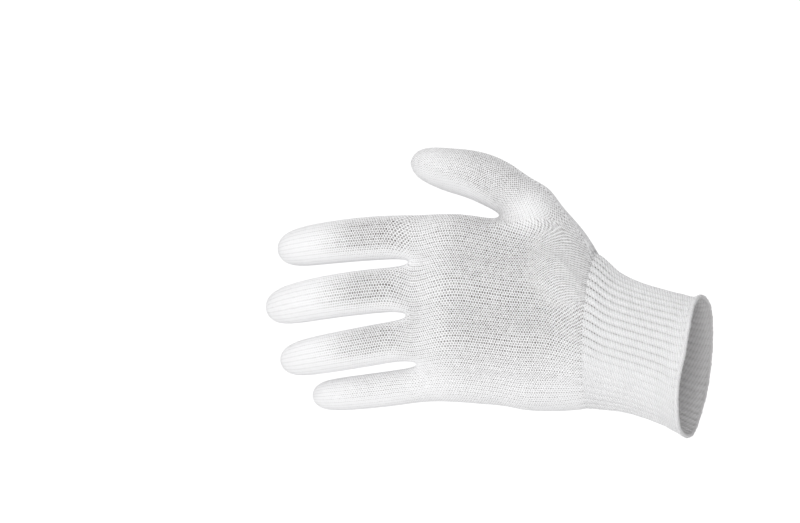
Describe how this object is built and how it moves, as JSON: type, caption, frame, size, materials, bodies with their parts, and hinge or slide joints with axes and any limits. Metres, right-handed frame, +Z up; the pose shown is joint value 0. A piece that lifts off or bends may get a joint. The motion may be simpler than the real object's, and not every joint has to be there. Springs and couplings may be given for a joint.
{
  "type": "knitted cotton glove",
  "caption": "Fine-knit cotton glove for the left hand, filled out as if worn, with plain fingers and thumb, a ribbed cuff and a rolled edge round its open mouth",
  "frame": {"origin": "the middle of the cuff's mouth, in the plane of the rolled edge", "axes": "+X runs from the fingertips out of the mouth, +Z is up to the thumb's side, and +Y is the way the palm faces"},
  "size_m": [0.2425, 0.0554, 0.1498],
  "materials": {
    "plain_knit": "matte fine-gauge cotton knit",
    "rib_knit": "matte ribbed cotton knit with elastic",
    "rolled_knit": "matte overedged cotton knit"
  },
  "bodies": {
    "root": {"hand": "plain_knit", "index_finger": "plain_knit", "middle_finger": "plain_knit", "ring_finger": "plain_knit", "little_finger": "plain_knit", "thumb": "plain_knit", "rib_cuff": "rib_knit", "cuff_edge": "rolled_knit"}
  },
  "joints": []
}
